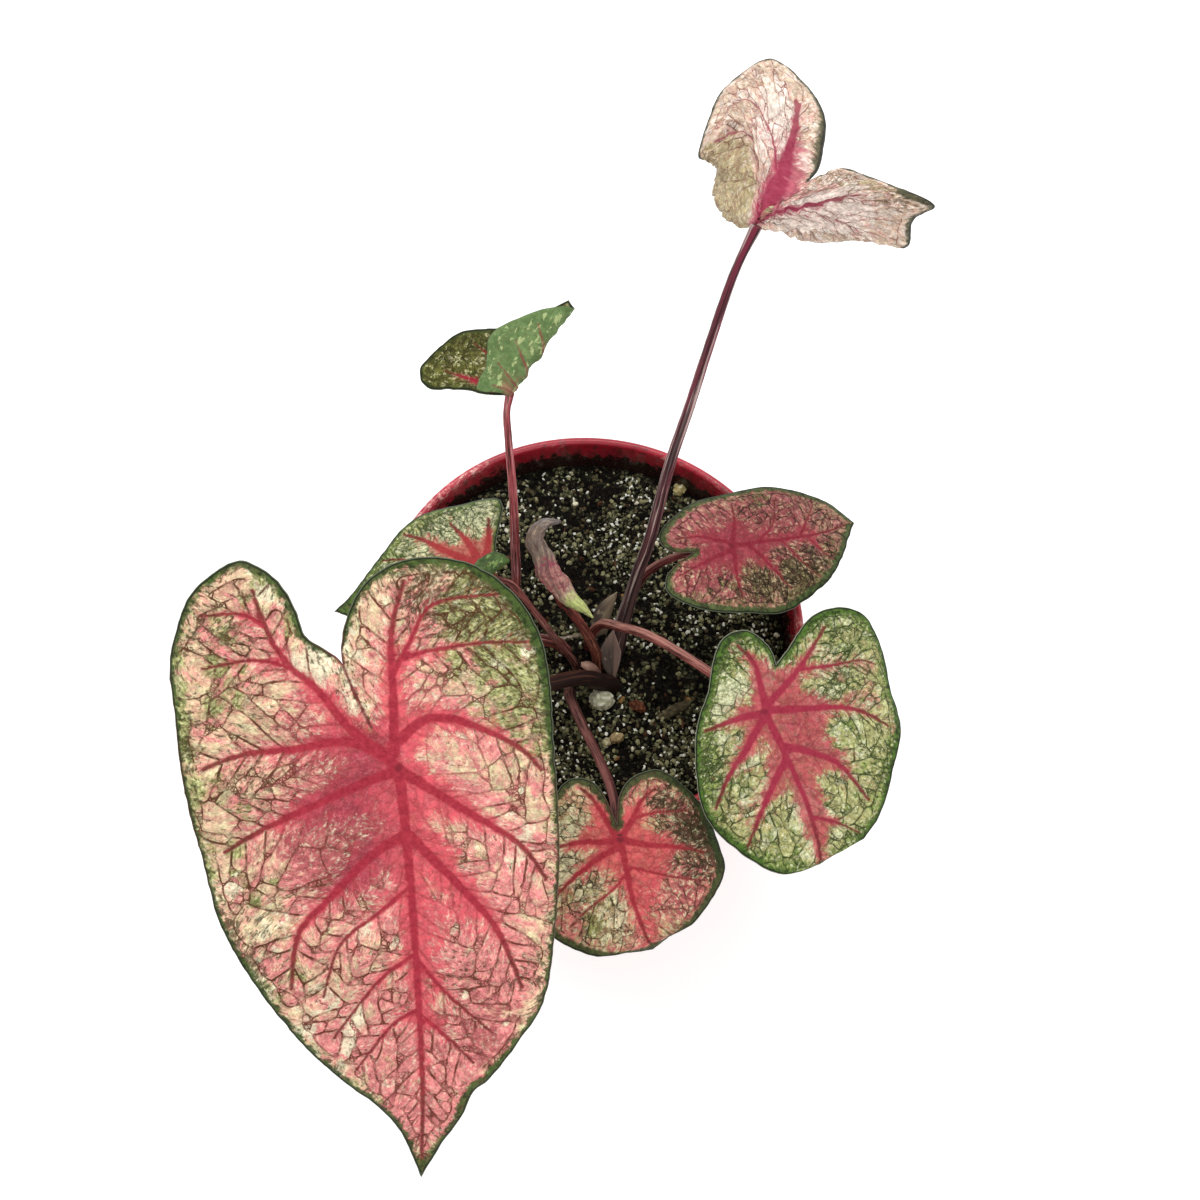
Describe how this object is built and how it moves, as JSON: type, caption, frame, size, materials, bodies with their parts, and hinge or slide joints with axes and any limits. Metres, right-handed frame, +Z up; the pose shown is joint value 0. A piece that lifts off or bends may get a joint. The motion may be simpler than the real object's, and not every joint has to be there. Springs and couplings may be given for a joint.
{
  "type": "potted caladium plant",
  "caption": "Potted caladium: heart-shaped leaves veined in crimson, mottled pink, cream and green, on slender dark stems that rise from peat in a tapered red pot.",
  "frame": {"origin": "centre of the pot's flat base, on the surface it stands on", "axes": "+Z up; +Y away from someone who faces the side where the largest leaf hangs; +X to that person's right"},
  "size_m": [0.2088, 0.3021, 0.2655],
  "materials": {
    "pot": "gloss",
    "soil": "matte",
    "blade_pink": "satin",
    "blade_green": "satin",
    "blade_cream": "satin",
    "stem": "satin",
    "husk": "matte"
  },
  "bodies": {
    "root": {"pot": "pot", "soil": "soil", "blade_large": "blade_pink", "stem_large": "stem", "blade_right": "blade_pink", "stem_right": "stem", "blade_lower_right": "blade_green", "stem_lower_right": "stem", "blade_front": "blade_pink", "stem_front": "stem", "blade_left": "blade_green", "stem_left": "stem", "blade_folded": "blade_green", "stem_folded": "stem", "blade_wilted": "blade_cream", "stem_wilted": "stem", "blade_rolled": "blade_green", "stem_rolled": "stem", "husk_back": "husk", "husk_middle": "husk", "husk_stub": "husk"}
  },
  "joints": []
}
